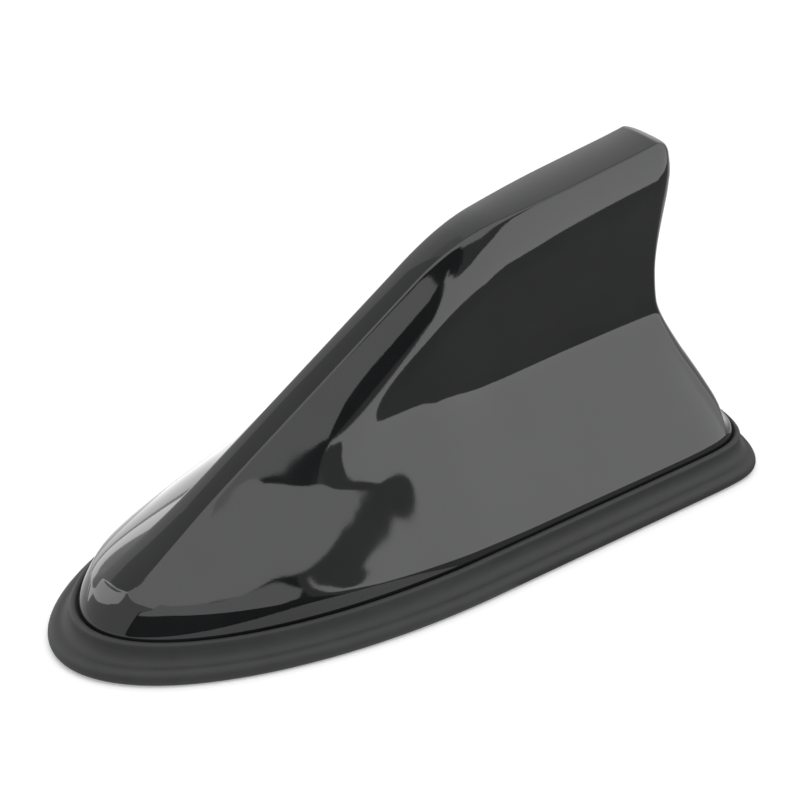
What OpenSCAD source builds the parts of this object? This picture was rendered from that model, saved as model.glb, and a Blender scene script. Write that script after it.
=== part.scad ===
// Shark fin roof aerial for a road car.
// A lofted gloss cover over a cast base plate, on a rubber gasket that seals to the roof.
// X runs nose to tail, Z is up, the roof skin is the plane z = 0,
// and the origin is on the axis of the mounting neck.

/* [Overall] */
// Length of the gasket over the roof, nose to tail, mm
overall_len = 165; // [140:1:190]
// Width of the gasket over the roof, mm
overall_wid = 71.5; // [62:0.5:82]
// Gasket skirt outside the cover at the nose, mm
skirt_nose = 6.7; // [5.5:0.1:8]
// Gasket skirt outside the cover at the sides, mm
skirt_side = 5.35; // [4.5:0.05:6.5]
// Gasket skirt outside the cover at the tail, mm
skirt_tail = 4.3; // [3.8:0.1:6]
// Place of the widest section ahead of or behind the neck, mm
widest_x = -0.6; // [-8:0.2:8]
// How square the cover's tail outline is along the length
tail_square = 19.5; // [12:0.5:26]
// How square the cover's tail outline is across the width
tail_round = 3.3; // [2.4:0.1:5]
// How square the gasket's tail outline is along the length
skirt_square = 24; // [16:0.5:30]
// How square the gasket's tail outline is across the width
skirt_round = 1.4; // [1.2:0.1:3]

/* [Cover] */
// Height of the cover's lower edge over the roof, mm
rim_z = 7; // [6.5:0.1:8.5]
// Height of the crease on the front run where it passes 25 mm ahead of the neck, mm
front_run_z = 40.2; // [36:0.2:44]
// Rise of the front run per mm
front_slope = 0.61; // [0.5:0.01:0.7]
// Height of the crease on the rear run where it passes 50 mm behind the neck, mm
rear_run_z = 68.4; // [60:0.2:76]
// Rise of the rear run per mm
rear_slope = 0.113; // [0.05:0.001:0.2]
// Half length of the soft bend between the two runs, mm
bend_half = 10; // [4:0.5:16]
// Fullness added to the front run at the nose
nose_full = 0.0042; // [0:0.0002:0.006]
// Half width of the top band between its creases, along the front run, mm
band_front = 3.45; // [2.8:0.05:4.5]
// Half width of the top band at the tip, mm
band_tip = 5.4; // [4:0.1:6.5]
// Half width of the top band at the nose, mm
band_nose = 4.25; // [3.5:0.05:5.5]
// Crown of the top band over its creases, mm
band_crown = 0.5; // [0:0.05:1.2]
// Front end of the creases, distance behind the cover's nose, mm
crease_start = 5.4; // [4.5:0.1:8]
// Half thickness of the blade at its front, mm
blade_front = 9.3; // [8:0.1:11]
// Half thickness of the blade at its rear, mm
blade_rear = 8.4; // [7.5:0.1:10]
// Depth of the rounded shoulder under the crease, mm
shoulder_drop = 12; // [8:0.5:16]
// Height where the blade meets the flared skirt, mm
root_z = 32; // [28:0.5:36]
// Softness of the hollow between blade and skirt, mm
root_soft = 3.2; // [1.5:0.1:5]
// Height of the near upright lower band at the nose, mm
band_low_nose = 5.6; // [4:0.1:7]
// Height of the near upright lower band at the tail, mm
band_low_tail = 2.0; // [1.5:0.1:3]
// Lean of the lower band at the sides, mm
lean_side = 0.6; // [0.3:0.05:1.2]
// Lean of the lower band at the nose, mm
lean_nose = 3.4; // [2:0.1:4.2]
// Rear edge of the side panel at its waist, mm ahead of the cover's tail
waist_in = 13.45; // [11:0.05:17]
// Height of that waist, mm
waist_z = 43; // [38:0.5:48]
// How far the rear edge leans back above the waist, mm
tip_lean = 4.7; // [2:0.1:6]
// Radius of the rear top corner of the side panel, mm
tip_round = 3; // [1:0.1:4]
// Depth of the rounded rear face behind the panel's edge, at the tip, mm
rear_deep = 6; // [3:0.1:8]
// Depth of the rounded rear face behind the panel's edge, at the waist, mm
rear_waist = 2.6; // [2:0.1:5]
// Rear edge of the side panel at its foot, mm ahead of the cover's tail
foot_in = 8.5; // [6:0.1:11]
// Wall of the cover, mm
cover_wall = 2.2; // [1.8:0.1:2.8]
// Outer radius of the screw bosses, mm
boss_r = 3; // [2.6:0.1:3.6]

/* [Base plate] */
// Underside of the plate over the roof, mm
plate_z = 2; // [1.6:0.1:2.6]
// Plate thickness, mm
plate_t = 3; // [2.5:0.1:3.5]
// Set-in of the plate edge from the cover's outer edge, mm
plate_in = 2.8; // [2.6:0.1:4]
// Outer radius of the mounting neck, mm
neck_r = 7; // [6:0.25:9]
// Length of the neck below the roof plane, mm
neck_len = 16; // [10:0.5:17]
// Bore radius of the neck, mm
neck_bore_r = 5; // [4:0.25:6]
// Width of the collar round the neck that seats on the roof, mm
collar_w = 1.5; // [1:0.1:2.5]
// Radius of the locating peg, mm
peg_r = 2.5; // [2:0.1:3.5]
// Length of the locating peg below the roof plane, mm
peg_len = 5; // [3:0.5:8]
// Distance of the locating peg behind the neck, mm
peg_x = 28; // [22:0.5:40]
// Height of the board pillars over the plate, mm
pillar_h = 2.5; // [2:0.1:4]

/* [Gasket] */
// Height of the ledge the cover sits on is the cover's lower edge; bead above it, mm
bead_h = 0.65; // [0.4:0.05:1]
// Width of the bead beside the cover, mm
bead_w = 1.3; // [1:0.1:1.8]
// Width of the flange under the base plate, mm
flange_w = 3; // [2:0.25:4]

/* [Electronics] */
// Main board thickness, mm
board_t = 1.6; // [1:0.1:2]
// Half width of the main board, mm
board_hw = 17; // [14:0.5:18]
// Front end of the main board, mm ahead of the neck at a length of 165 mm
board_front = 52; // [46:1:54]
// Rear end of the main board, mm behind the neck at a length of 165 mm
board_rear = 58; // [50:1:60]
// Side of the square satellite patch, mm
patch_side = 25; // [18:0.5:25]
// Thickness of the satellite patch, mm
patch_t = 4; // [2:0.5:6]
// Middle of the satellite patch, mm ahead of the neck at a length of 165 mm
patch_x = 30; // [26:1:34]
// Thickness of the upright element board, mm
mast_t = 1.6; // [1:0.1:2]
// Top of the upright element board under the crease line, mm
mast_drop = 6.5; // [5:0.5:9]
// Turns of the loading coil
coil_turns = 8; // [5:1:10]
// Wire radius of the loading coil, mm
coil_wire_r = 0.4; // [0.3:0.05:0.5]
// Radius of the coil former, mm
former_r = 3; // [2.5:0.1:3.4]
// Height of the coil former over the board, mm
former_h = 32; // [27:0.5:34]
// Length of the amplifier screening can, mm
can_len = 17; // [14:0.5:17]
// Width of the amplifier screening can, mm
can_wid = 20; // [16:0.5:20]
// Height of the amplifier screening can, mm
can_h = 2.8; // [2:0.1:4]
// Side of the tuner chip, mm
chip_side = 7; // [5:0.5:8]
// Height of the phone band element over the board, mm
phone_h = 11; // [8:0.5:13]
// Width of its folded edges, mm
phone_w = 4; // [3:0.25:4.5]
// Length of each earthing spring, mm
spring_len = 12; // [8:0.5:13]
// Width of each earthing spring, mm
spring_w = 4; // [3:0.25:5]
// Width of the foam seal round the neck, mm
seal_w = 5; // [4:0.25:6]

/* [Fits] */
// Gap between parts laid side by side, mm
side_gap = 0.2; // [0.1:0.05:0.4]
// Gap round a screw in a plain hole, mm
screw_gap = 0.2; // [0.1:0.05:0.3]
// Gap between the bead and the cover, mm
bead_gap = 0.15; // [0.1:0.05:0.3]

/* [Hidden] */
$fn = 40;
nose_x = -overall_len / 2 + skirt_nose;
tail_x = overall_len / 2 - skirt_tail;
// places along X are given for a length of 165 mm and move with the length
lk = overall_len / 165;
waist_x = tail_x - waist_in;
foot_x = tail_x - foot_in;
rim_w = overall_wid / 2 - skirt_side;
plate_top = plate_z + plate_t;
board_z = plate_top + pillar_h;
board_top = board_z + board_t;
crease_nose = nose_x + crease_start;
tip_z = rear_run_z + rear_slope * (waist_x / lk - 46.75);
screw_r = 1.25;
head_r = 2.4;
head_h = 1.5;
flange_in = plate_in + flange_w;
nose_screw = half_w(-56 * lk, flange_in, flange_in, flange_in) - head_r - 2.9;
side_screw = rim_w - flange_in - head_r - 1;
screw_at = [[-56 * lk, nose_screw], [-20 * lk, side_screw], [22 * lk, side_screw],
    [58 * lk, side_screw]];
patch_c = -patch_x * lk;
post_at = [[patch_c - patch_side / 2 - 3.5, patch_side / 2 - 3.5],
    [58 * lk - boss_r - 4, board_hw - 3.5]];
board_x0 = -board_front * lk;
board_x1 = board_rear * lk;
can_at = [-12 * lk, -can_wid / 2 - 3];
phone_x0 = 22 * lk + boss_r + 1;
phone_len = post_at[1].x - 3.5 - phone_x0;
coil_x = 14 * lk;
mast_x0 = 24 * lk;
mast_x1 = 56 * lk;
mast_len = mast_x1 - mast_x0;
run_a = atan(rear_slope / lk);
sock_at = [[-2.4, 0], [2.4, 0]];
pad_h = mast_drop - 1.15 * cover_wall + band_crown - 0.55;

function mix(a, b, t) = a + (b - a) * t;
function clamp(t) = min(max(t, 0), 1);
function smooth(t) = let (c = clamp(t)) c * c * (3 - 2 * c);

// Plan outlines of the cover
// half width at x, for an outline set in by s at the sides, sn at the nose, st at the tail
function half_w(x, s, sn, st) =
    let (d = x - widest_x)
    d < 0
    ? (rim_w - s) * sqrt(max(0, 1 - pow(d / (nose_x + sn - widest_x), 2)))
    : (rim_w - s) * pow(max(0, 1 - pow(d / (tail_x - st - widest_x), tail_square)),
        1 / tail_round);
// x of the tail outline at half width y
function tail_at(y, s, st) = widest_x + (tail_x - st - widest_x)
    * pow(max(0, 1 - pow(min(1, y / (rim_w - s)), tail_round)), 1 / tail_square);

// Crease line in side view
bend_x = (rear_run_z - rear_slope * 50 - front_run_z - front_slope * 25)
    / (front_slope - rear_slope);
bend_z = front_run_z + front_slope * (bend_x + 25);
function crease_z(x) =
    let (u = x / lk, d = u - bend_x)
    bend_z + nose_full * pow(min(u + 52, 0), 2)
    + (d < -bend_half ? front_slope * d
    : d > bend_half ? rear_slope * d
    : front_slope * d
        + (rear_slope - front_slope) * pow(d + bend_half, 2) / (4 * bend_half));
// Half width of the top band
function band_w(x) = band_front + (band_tip - band_front) * smooth((x / lk - 2) / 43)
    + (band_nose - band_front) * smooth((-45 - x / lk) / 25);
// Height of the near upright lower band
function low_h(x) = mix(band_low_tail, band_low_nose, smooth((18 - x / lk) / 95));
// Depth below the crease, measured square to the nearer run
function depth(x, z) =
    let (u = x / lk,
        a = (front_run_z + front_slope * (u + 25) - z) / sqrt(1 + pow(front_slope, 2)),
        b = (rear_run_z + rear_slope * (u - 50) - z) / sqrt(1 + pow(rear_slope, 2)))
    (a + b - sqrt(pow(a - b, 2) + 4)) / 2;
// Rear edge of the side panel in side view
function edge_x(z) = z > waist_z
    ? waist_x + tip_lean * pow(clamp((z - waist_z) / (tip_z - 0.9 - waist_z)), 4.2)
        - tip_round * (1 - sqrt(1 - pow(clamp((z - tip_z + tip_round) / tip_round), 2)))
    : mix(waist_x, foot_x, pow((waist_z - z) / (waist_z - 9), 1.75));
// Depth of the rear face behind that edge
function bulge(z) =
    mix(rear_waist, rear_deep, smooth((z - waist_z + 1) / 18))
        * (1 - 0.82 * pow(1 - clamp((tip_z - z) / 8), 1.7))
    + 3.9 * (1 - pow(1 - clamp((34 - z) / 22), 1.5)) * mix(1, 0.7, clamp((24 - z) / 12));

// Side surface: half thickness at x, z, for a section from the crease to the point yb, zb.
// k is how far the surface is set inward, for the inside of the wall.
function side_raw(x, z, zs, w, t, yb, zb) =
    let (q = clamp((depth(x, z) - depth(x, zs)) / shoulder_drop),
        wall = w + max(t - w, 0) * (1 - pow(1 - q, 2)),
        grow = smooth((x / lk + 46) / 26),
        zv = mix(zs, min(zs, (zs + root_z - sqrt(pow(zs - root_z, 2) + 9)) / 2), grow),
        wv = mix(w, t, grow),
        full = mix(0.42, 0.08, smooth((x / lk + 55) / 50)),
        d = (zv - z) / (zv - zb),
        skirt = wv + (yb - wv) * (d > 0 ? d + full * d * (1 - d) : d * (1 + full)),
        r = root_soft * grow)
    (wall + skirt + sqrt(pow(wall - skirt, 2) + 4 * r * r)) / 2;
function side_y(x, z, zs, yb, zb, k) =
    let (w = band_w(x) - 0.6 * k,
        t = mix(blade_front, blade_rear, smooth(x / lk / 60)) - k,
        s = (zs - z) / (zs - zb))
    side_raw(x, z, zs, w, t, yb, zb)
    - mix(side_raw(x, zs, zs, w, t, yb, zb) - w, side_raw(x, zb, zs, w, t, yb, zb) - yb, s);

// Stations round one side: nose fan, middle, rear, then the rear face
fan_n = 8;
mid_n = 13;
aft_n = 6;
tail_n = 6;
fan_end = -46 * lk;
aft_start = 35 * lk;
st_n = fan_n + mid_n + aft_n;
half_n = st_n + tail_n;
lv_n = 16;
low_n = 3;
fan_a = acos((fan_end - widest_x) / (nose_x + lean_nose - widest_x));

// One point of the shell: station i, level d from the crease 0 to the panel's foot 1
function foot_pt(x, k) = [x, half_w(x, lean_side + 1.15 * k, lean_nose + 0.6 * k,
    lean_side + k), rim_z + low_h(x) - 0.55 * k];
function fan_pt(i, d, k) =
    let (a = fan_a * i / fan_n,
        nb = nose_x + lean_nose,
        xb = widest_x + (nb - widest_x) * cos(a),
        xf = xb + 0.6 * k * smooth((-60 - xb / lk) / 12),
        b = i == 0 ? [nb + 0.6 * k, 0, rim_z + low_h(nb) - 0.55 * k] : foot_pt(xf, k),
        q = clamp(a / 14),
        xc = mix(xb + crease_nose - nb + 0.3 * k, xb, smooth((xb - nb) / (fan_end - nb))),
        yc = (band_w(xc) - 0.6 * k) * pow(sin(90 * q), 0.8),
        zc = crease_z(xc) - 1.15 * k,
        full = mix(0.42, 0.08, smooth((xb / lk + 55) / 50)))
    [mix(xc, b.x, d), yc + (b.y - yc) * (d + full * d * (1 - d)), mix(zc, b.z, d)];
function mid_pt(x, d, k) =
    let (b = foot_pt(x, k), zs = crease_z(x) - 1.15 * k, z = mix(zs, b.z, d))
    [x, side_y(x, z, zs, b.y, b.z, k), z];
function aft_pt(f, d, k) =
    let (xt = edge_x(tip_z) - k,
        x = mix(aft_start, xt, f),
        b = foot_pt(mix(aft_start, foot_x - k, f), k),
        zs = crease_z(x) - 1.15 * k,
        z = mix(zs, b.z, d),
        xx = mix(aft_start, edge_x(z) - k, f))
    [mix(xx, b.x, smooth((d - 0.85) / 0.15)), side_y(xx, z, zs, b.y, b.z, k), z];
function side_pt(i, d, k) = i <= fan_n ? fan_pt(i, d, k)
    : i <= fan_n + mid_n ? mid_pt(mix(fan_end, aft_start, (i - fan_n) / mid_n), d, k)
    : aft_pt((i - fan_n - mid_n) / aft_n, d, k);
function rear_pt(j, d, k) =
    let (e = side_pt(st_n, d, k),
        p = 90 * j / tail_n,
        n = mix(3, 5, clamp((24 - e.z) / 12)),
        y = e.y * pow(cos(p), 2 / n),
        x1 = e.x + bulge(e.z) * pow(sin(p), 2 / n),
        x2 = e.x + tail_at(y, lean_side + 1.15 * k, lean_side + k)
            - tail_at(e.y, lean_side + 1.15 * k, lean_side + k),
        q = clamp((rim_z + 12 - e.z) / 10))
    [mix(x1, x2, q * q), y, e.z];
function half_pt(i, d, k) = i <= st_n ? side_pt(i, d, k) : rear_pt(i - st_n, d, k);
// Lower edge under station i
function rim_pt(i, k) =
    let (b = half_pt(i, 1, k))
    i == 0 ? [nose_x + k, 0, rim_z]
    : i <= fan_n ? let (a = fan_a * i / fan_n)
        [widest_x + (nose_x + k - widest_x) * cos(a), (rim_w - k) * sin(a), rim_z]
    : i <= st_n ? [b.x, half_w(b.x, k, k, k), rim_z]
    : let (e = side_pt(st_n, 1, k), y = b.y * half_w(e.x, k, k, k) / e.y)
        [tail_at(y, k, k), y, rim_z];
function level_pt(i, v, k) = v <= lv_n
    ? half_pt(i, pow(v / lv_n, 1.5), k)
    : let (t = (v - lv_n) / low_n, b = half_pt(i, 1, k), r = rim_pt(i, k),
        g = 1 - pow(1 - t, 1.5))
        [mix(b.x, r.x, g), mix(b.y, r.y, g), mix(b.z, r.z, t)];
function flip(p) = [p.x, -p.y, p.z];
function ring(v, k) = concat([for (i = [0:half_n]) level_pt(i, v, k)],
    [for (i = [half_n - 1:-1:1]) flip(level_pt(i, v, k))]);

// Solid inside one shell surface, with a foot drop below the lower edge
module shell_solid(k, drop) {
    n = 2 * half_n;
    rings = lv_n + low_n + 2;
    top = [for (i = [1:half_n - 1])
        let (p = level_pt(i, 0, k)) [p.x, 0, p.z + band_crown * sin(90 * clamp(p.y / 3))]];
    walls = [for (v = [0:lv_n + low_n]) each ring(v, k)];
    foot = [for (p = ring(lv_n + low_n, k)) [p.x, p.y, rim_z - drop]];
    pts = concat(walls, foot, top);
    t0 = rings * n;
    side = [for (v = [0:rings - 2], i = [0:n - 1])
        let (a = v * n + i, b = v * n + (i + 1) % n, c = b + n, d = a + n)
        each [[a, c, b], [a, d, c]]];
    lid = [for (i = [1:half_n - 2])
        let (c = t0 + i - 1)
        each [[i, c + 1, c], [i, i + 1, c + 1], [n - i, c, c + 1], [n - i, c + 1, n - i - 1]]];
    ends = [[0, 1, t0], [0, t0, n - 1], [half_n, t0 + half_n - 2, half_n - 1],
        [half_n, half_n + 1, t0 + half_n - 2]];
    base = [[for (i = [n - 1:-1:0]) (rings - 1) * n + i]];
    polyhedron(points = pts, faces = concat(side, lid, ends, base), convexity = 6);
}

// Plan outline grown by r outside the cover's lower edge, as a list of points
function grow_pt(i, r) =
    let (rn = r > 0 ? r * skirt_nose / skirt_side : r,
        rt = r > 0 ? r * skirt_tail / skirt_side : r,
        ts = mix(tail_square, skirt_square, max(r, 0) / skirt_side),
        tr = mix(tail_round, skirt_round, max(r, 0) / skirt_side))
    i <= 18 ? [widest_x + (nose_x - rn - widest_x) * cos(5 * i), (rim_w + r) * sin(5 * i)]
    : i <= 26 ? let (f = 0.94 * (1 - pow(1 - (i - 18) / 8, 2)))
        [widest_x + (tail_x + rt - widest_x) * f, (rim_w + r) * pow(1 - pow(f, ts), 1 / tr)]
    : let (y = pow(1 - pow(0.94, ts), 1 / tr) * cos(15 * (i - 26)))
        [widest_x + (tail_x + rt - widest_x) * pow(1 - pow(y, tr), 1 / ts), (rim_w + r) * y];
function outline(r) = concat([for (i = [0:32]) grow_pt(i, r)],
    [for (i = [31:-1:1]) let (p = grow_pt(i, r)) [p.x, -p.y]]);

module at_screws() {
    for (p = screw_at, s = [-1, 1])
        translate([p.x, s * p.y, 0])
            children();
}
module at_posts() {
    for (p = post_at, s = [-1, 1])
        translate([p.x, s * p.y, 0])
            children();
}

// Moulded cover with its screw bosses
module cover() {
    color([0.03, 0.03, 0.035])
    difference() {
        union() {
            difference() {
                shell_solid(0, 0);
                shell_solid(cover_wall, 1);
            }
            intersection() {
                shell_solid(0.6, 1);
                at_screws()
                    translate([0, 0, rim_z - 0.5])
                        cylinder(r = boss_r, h = 40);
            }
            at_screws()
                translate([0, 0, plate_top])
                    cylinder(r = boss_r, h = rim_z - plate_top + 1);
        }
        at_screws()
            translate([0, 0, plate_top - 1])
                cylinder(r = screw_r, h = 7.5);
    }
}

// Rubber gasket: flange under the plate, ledge and bead for the cover, flared lip
function lip_profile() = let (s = skirt_side) [
    [-plate_in - flange_w, 0],
    [-plate_in - flange_w, plate_z],
    [-plate_in + side_gap, plate_z],
    [-plate_in + side_gap, rim_z],
    [bead_gap, rim_z],
    for (i = [1:5])
        [bead_gap + bead_w * 0.5 * (1 - cos(36 * i)), rim_z + bead_h * sin(36 * i)],
    for (i = [1:5])
        let (a = 18 * i)
        [mix(bead_gap + bead_w, s - 1.75, 1 - cos(a)), mix(rim_z - 0.2, 3.65, sin(a))],
    for (i = [1:5])
        let (a = 90 - 30 * i)
        [s - 1.75 + 1.75 * cos(a), 1.9 + 1.75 * sin(a)],
    [s - 1.1, 0.15],
    [s - 1.8, 0]];
module gasket() {
    prof = lip_profile();
    m = len(prof);
    n = 64;
    pts = [for (p = prof, q = outline(p.x)) [q.x, q.y, p.y]];
    faces = [for (j = [0:m - 1], i = [0:n - 1])
        let (a = j * n + i, b = j * n + (i + 1) % n,
            c = ((j + 1) % m) * n + (i + 1) % n, d = ((j + 1) % m) * n + i)
        each [[a, c, b], [a, d, c]]];
    color([0.12, 0.12, 0.12])
        polyhedron(points = pts, faces = faces, convexity = 8);
}

// Cast base plate with the mounting neck, locating peg and board pillars
module base_plate() {
    color([0.62, 0.62, 0.64])
    difference() {
        union() {
            translate([0, 0, plate_z])
                linear_extrude(plate_t)
                    polygon(outline(-plate_in));
            translate([0, 0, -neck_len])
                cylinder(r = neck_r, h = neck_len + plate_z + 0.5);
            cylinder(r = neck_r + collar_w, h = plate_z + 0.5);
            translate([peg_x, 0, -peg_len])
                cylinder(r = peg_r, h = peg_len + plate_z + 0.5);
            at_posts()
                translate([0, 0, plate_top - 0.5])
                    cylinder(r = 3, h = pillar_h + 0.5);
        }
        translate([0, 0, -neck_len - 1])
            cylinder(r = neck_bore_r, h = neck_len + plate_top + 2);
        at_screws()
            translate([0, 0, plate_z - 1])
                cylinder(r = screw_r + screw_gap, h = plate_t + 2);
        at_posts()
            translate([0, 0, plate_top - 1])
                cylinder(r = 1, h = pillar_h + 2);
    }
}

// Foam seal round the neck
module neck_seal() {
    color([0.2, 0.2, 0.2])
    difference() {
        cylinder(r = neck_r + collar_w + seal_w, h = plate_z);
        translate([0, 0, -1])
            cylinder(r = neck_r + collar_w + side_gap, h = plate_z + 2);
    }
}

// Rubber grommet with the cable passages, in the foot of the neck
module cable_grommet() {
    color([0.15, 0.15, 0.15])
    difference() {
        union() {
            translate([0, 0, -neck_len])
                cylinder(r = neck_bore_r, h = 8);
            translate([0, 0, -neck_len - 1.5])
                cylinder(r = neck_r - 0.8, h = 1.5);
        }
        for (s = sock_at)
            translate([s.x, s.y, -neck_len - 2.5])
                cylinder(r = 1.5, h = 12);
    }
}

// Screws up through the plate into the cover
module cover_screws() {
    color([0.7, 0.7, 0.72])
    at_screws()
        difference() {
            union() {
                translate([0, 0, plate_z - head_h])
                    cylinder(r = head_r, h = head_h);
                translate([0, 0, plate_z - 0.2])
                    cylinder(r = screw_r, h = 8.2);
            }
            translate([0, 0, plate_z - head_h - 0.5])
                cylinder(r = 1, h = 1.4, $fn = 6);
        }
}

// Main circuit board
module main_board() {
    color([0.05, 0.25, 0.12])
    difference() {
        translate([0, 0, board_z])
            linear_extrude(board_t)
                polygon([[board_x0, 5.5 - board_hw], [board_x0 + 14, -board_hw],
                    [board_x1, -board_hw], [board_x1, board_hw],
                    [board_x0 + 14, board_hw], [board_x0, board_hw - 5.5]]);
        at_posts()
            translate([0, 0, board_z - 1])
                cylinder(r = 1.3, h = board_t + 2);
        at_screws()
            translate([0, 0, board_z - 1])
                cylinder(r = boss_r + 0.6, h = board_t + 2);
        translate([patch_c + 2, 0, board_z - 1])
            cylinder(r = 0.6, h = board_t + 2);
    }
}

// Screws holding the board to the pillars
module board_screws() {
    color([0.75, 0.7, 0.5])
    at_posts()
        difference() {
            union() {
                translate([0, 0, board_top])
                    cylinder(r = 2, h = 1.3);
                translate([0, 0, board_top - board_t - pillar_h + 0.2])
                    cylinder(r = 1, h = board_t + pillar_h + 0.3);
            }
            translate([0, 0, board_top + 0.6])
                cylinder(r = 0.8, h = 1.5, $fn = 6);
        }
}

// Satellite patch antenna: pad, ceramic, silvered electrode, feed pin
module gps_pad() {
    color([0.85, 0.85, 0.8])
    difference() {
        translate([patch_c - patch_side / 2 + 1, -patch_side / 2 + 1, board_top])
            cube([patch_side - 2, patch_side - 2, 0.5]);
        translate([patch_c + 2, 0, board_top - 1])
            cylinder(r = 1.2, h = 3);
    }
}
module gps_patch() {
    color([0.75, 0.68, 0.55])
    difference() {
        translate([patch_c - patch_side / 2, -patch_side / 2, board_top + 0.5])
            cube([patch_side, patch_side, patch_t]);
        translate([patch_c + 2, 0, board_top])
            cylinder(r = 0.6, h = patch_t + 2);
    }
}
module gps_electrode() {
    s = patch_side - 5;
    color([0.85, 0.85, 0.86])
    difference() {
        translate([patch_c - s / 2, -s / 2, board_top + 0.5 + patch_t])
            cube([s, s, 0.2]);
        translate([patch_c + 2, 0, board_top + patch_t])
            cylinder(r = 0.6, h = 2);
    }
}
module gps_feed_pin() {
    color([0.8, 0.7, 0.4])
    union() {
        translate([patch_c + 2, 0, board_z - 0.5])
            cylinder(r = 0.4, h = board_t + patch_t + 1.2);
        translate([patch_c + 2, 0, board_top + patch_t + 0.7])
            cylinder(r = 1, h = 0.4);
    }
}

// Amplifier screening can and its lid
module shield_can() {
    color([0.72, 0.72, 0.7])
    translate([can_at.x, can_at.y, board_top])
        difference() {
            cube([can_len, can_wid, can_h]);
            translate([0.3, 0.3, -1])
                cube([can_len - 0.6, can_wid - 0.6, can_h + 2]);
        }
}
module can_lid() {
    color([0.78, 0.78, 0.76])
    translate([can_at.x, can_at.y, board_top + can_h])
        cube([can_len, can_wid, 0.3]);
}
module tuner_chip() {
    color([0.08, 0.08, 0.08])
    translate([can_at.x + 5, can_at.y + 6, board_top])
        cube([chip_side, chip_side, 1]);
}

// Phone band element: bent sheet with a foot
module phone_element() {
    color([0.8, 0.72, 0.45])
    union() {
        translate([phone_x0, board_hw - 6, board_top])
            cube([phone_len, phone_w, 0.5]);
        translate([phone_x0, board_hw - 6, board_top])
            cube([phone_len, 0.5, phone_h]);
        translate([phone_x0, board_hw - 5.5 - phone_w, board_top + phone_h - 0.5])
            cube([phone_len, phone_w, 0.5]);
    }
}

// Holder and upright board of the radio element
module mast_holder() {
    color([0.85, 0.85, 0.82])
    difference() {
        translate([mast_x0 + 2, -3.5, board_top])
            cube([mast_len - 4, 7, 8]);
        translate([mast_x0 - 1, -mast_t / 2 - 0.1, board_top + 1.5])
            cube([mast_len + 2, mast_t + 0.2, 9]);
    }
}
module mast_board() {
    z0 = board_top + 1.5;
    za = crease_z(mast_x0) - mast_drop;
    zb = za + rear_slope / lk * mast_len;
    color([0.1, 0.3, 0.15])
    translate([0, mast_t / 2, 0])
        rotate([90, 0, 0])
            linear_extrude(mast_t)
                polygon([[mast_x0, z0], [mast_x1, z0], [mast_x1, zb], [mast_x0, za]]);
}
// Folded metal roof of the radio element
module top_plate() {
    za = crease_z(mast_x0) - mast_drop;
    color([0.82, 0.8, 0.7])
    translate([mast_x0, 0, za])
        rotate([0, -run_a, 0])
            difference() {
                translate([0, -3, -7])
                    cube([mast_len + 4, 6, 7.4]);
                translate([-1, -2.6, -8])
                    cube([mast_len + 6, 5.2, 8]);
            }
}

// Coil former with its foot, and the wound coil
module coil_former() {
    color([0.88, 0.86, 0.8])
    union() {
        translate([coil_x, 0, board_top])
            cylinder(r = 4.4, h = 1.5);
        translate([coil_x, 0, board_top])
            cylinder(r = former_r, h = former_h);
    }
}
module loading_coil() {
    seg = 20;
    sides = 6;
    steps = coil_turns * seg;
    pitch = 3;
    rc = former_r + coil_wire_r + 0.05;
    z0 = board_top + 1.5 + coil_wire_r;
    pts = [for (i = [0:steps], j = [0:sides - 1])
        let (a = 360 * i / seg, b = 360 * j / sides, r = rc + coil_wire_r * cos(b))
        [coil_x + r * cos(a), r * sin(a), z0 + pitch * i / seg + coil_wire_r * sin(b)]];
    wall = [for (i = [0:steps - 1], j = [0:sides - 1])
        let (a = i * sides + j, b = i * sides + (j + 1) % sides)
        each [[a, b, b + sides], [a, b + sides, a + sides]]];
    caps = [[for (j = [sides - 1:-1:0]) j], [for (j = [0:sides - 1]) steps * sides + j]];
    color([0.75, 0.45, 0.25])
        polyhedron(points = pts, faces = concat(wall, caps), convexity = 10);
}

// Foam pads between the element's roof and the cover
module foam_pads() {
    za = crease_z(mast_x0) - mast_drop;
    color([0.3, 0.3, 0.32])
    translate([mast_x0, 0, za])
        rotate([0, -run_a, 0])
            for (x = [mast_len / 8, mast_len * 3 / 4])
                translate([x, -2, 0.4])
                    cube([mast_len / 4, 4, pad_h]);
}

// Coaxial sockets on the underside of the board, over the neck bore
module coax_sockets() {
    color([0.8, 0.65, 0.3])
    for (s = sock_at)
        translate([s.x, s.y, board_z - 4])
            difference() {
                cylinder(r = 2, h = 4);
                translate([0, 0, -1])
                    cylinder(r = 1.4, h = 4);
            }
}

// Spring tongues that earth the plate to the roof skin
module earth_springs() {
    color([0.75, 0.7, 0.55])
    for (s = [-1, 1])
        translate([-neck_r - collar_w - seal_w - 0.5 - spring_len, s * 9, 0])
            difference() {
                translate([0, -spring_w / 2, 0])
                    cube([spring_len, spring_w, plate_z]);
                translate([0.4, -spring_w, 0.4])
                    cube([spring_len + 2, spring_w * 2, plate_z - 0.8]);
            }
}

cover();
gasket();
base_plate();
neck_seal();
cable_grommet();
cover_screws();
main_board();
board_screws();
gps_pad();
gps_patch();
gps_electrode();
gps_feed_pin();
shield_can();
can_lid();
tuner_chip();
phone_element();
mast_holder();
mast_board();
top_plate();
coil_former();
loading_coil();
foam_pads();
coax_sockets();
earth_springs();
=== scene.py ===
"""Shark fin roof aerial: its looks, camera and studio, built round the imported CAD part."""

import math

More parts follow.
